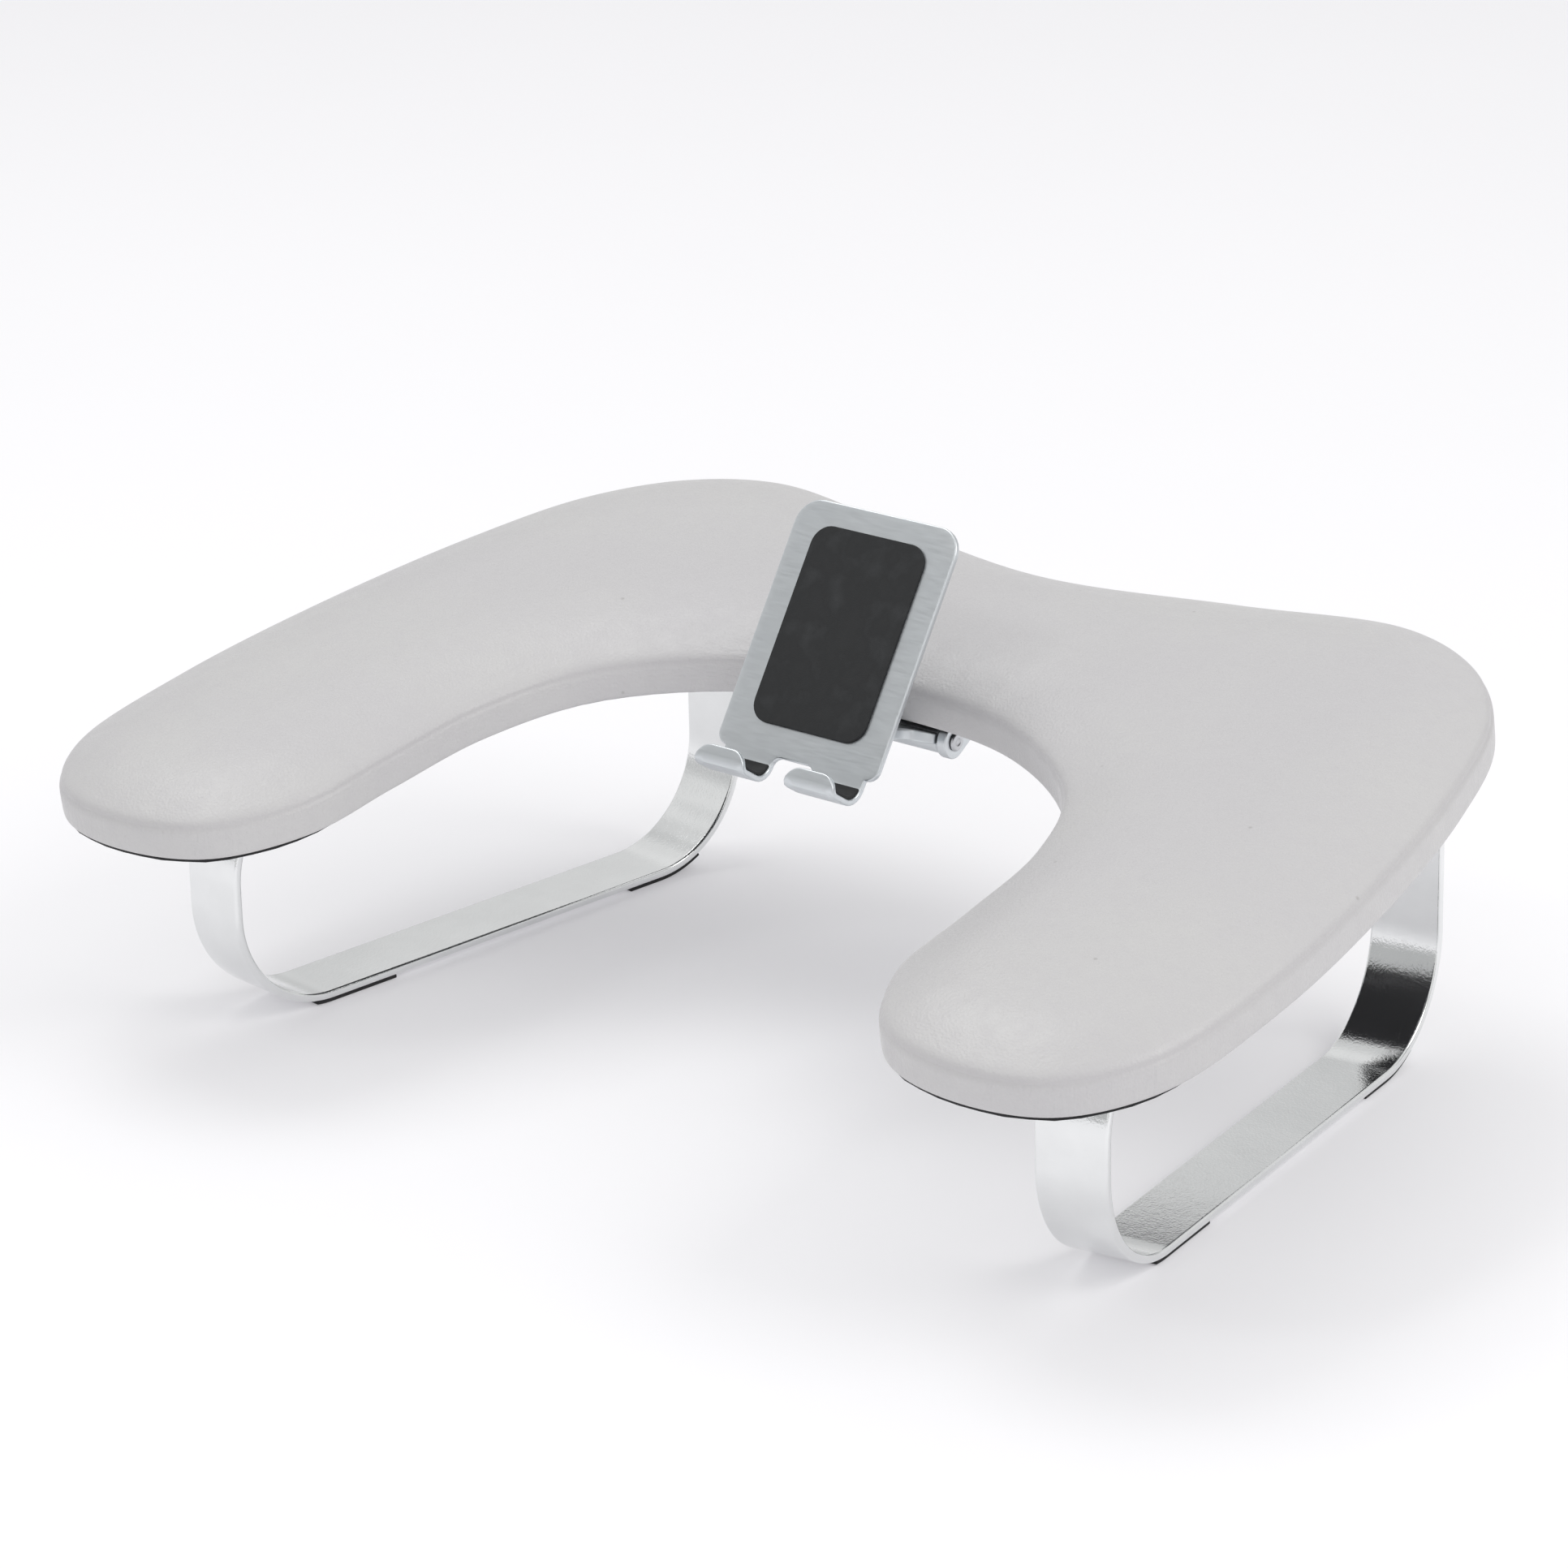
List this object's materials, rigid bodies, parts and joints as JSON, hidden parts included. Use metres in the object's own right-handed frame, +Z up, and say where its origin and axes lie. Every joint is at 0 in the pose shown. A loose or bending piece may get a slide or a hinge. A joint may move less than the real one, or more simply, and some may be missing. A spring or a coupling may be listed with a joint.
{
  "type": "nail arm rest with phone holder",
  "caption": "U-shaped padded forearm cushion on bent flat-bar legs, with a folding phone holder hinged under its inner rear edge.",
  "frame": {"origin": "middle of the bounding box, on the table surface under the rubber feet", "axes": "+X to the right across the two arms as the user sees them, +Y away from the user to the closed back of the U, +Z up"},
  "size_m": [0.4504, 0.2982, 0.1769],
  "materials": {
    "cover_leather": "fine-grained light grey-white synthetic leather, soft sheen",
    "foam": "upholstery foam, hidden inside the cover",
    "board": "plywood, hidden inside the cover",
    "underside_cloth": "black non-woven cloth",
    "leg_chrome": "bright chrome plating",
    "foot_rubber": "matte black rubber",
    "insert_brass": "turned brass, hidden in the board",
    "screw_steel": "bright zinc plating",
    "holder_aluminium": "satin anodised, light grey",
    "pivot_steel": "satin steel",
    "washer_plastic": "black nylon",
    "holder_silicone": "black silicone"
  },
  "bodies": {
    "rest": {"leather_cover": "cover_leather", "foam_pad": "foam", "base_board": "board", "dust_cloth": "underside_cloth", "leg_left": "leg_chrome", "leg_right": "leg_chrome", "foot_pad_left_front": "foot_rubber", "foot_pad_left_rear": "foot_rubber", "foot_pad_right_front": "foot_rubber", "foot_pad_right_rear": "foot_rubber", "leg_insert_left_1": "insert_brass", "leg_insert_left_2": "insert_brass", "leg_insert_left_3": "insert_brass", "leg_insert_left_4": "insert_brass", "leg_insert_right_1": "insert_brass", "leg_insert_right_2": "insert_brass", "leg_insert_right_3": "insert_brass", "leg_insert_right_4": "insert_brass", "leg_screw_left_1": "screw_steel", "leg_screw_left_2": "screw_steel", "leg_screw_left_3": "screw_steel", "leg_screw_left_4": "screw_steel", "leg_screw_right_1": "screw_steel", "leg_screw_right_2": "screw_steel", "leg_screw_right_3": "screw_steel", "leg_screw_right_4": "screw_steel", "bracket_screw_1": "screw_steel", "bracket_screw_2": "screw_steel", "bracket_screw_3": "screw_steel", "bracket_screw_4": "screw_steel", "holder_bracket": "holder_aluminium", "lower_pivot_bolt": "pivot_steel", "lower_pivot_nut": "pivot_steel"},
    "arm": {"holder_arm": "holder_aluminium", "lower_washer_left": "washer_plastic", "lower_washer_right": "washer_plastic"},
    "cradle": {"cradle_plate": "holder_aluminium", "cradle_face_pad": "holder_silicone", "hook_liner_left": "holder_silicone", "hook_liner_right": "holder_silicone", "upper_pivot_bolt": "pivot_steel", "upper_pivot_nut": "pivot_steel", "upper_washer_left": "washer_plastic", "upper_washer_right": "washer_plastic"}
  },
  "joints": [
    {"name": "arm_hinge", "type": "hinge", "parent": "rest", "child": "arm", "pos_m": [0, 0.04882, 0.09903], "axis": [1, 0, 0], "range_deg": [0, 75]},
    {"name": "cradle_tilt", "type": "hinge", "parent": "arm", "child": "cradle", "pos_m": [0, 0.00563, 0.11166], "axis": [1, 0, 0], "range_deg": [-38, 34]}
  ]
}
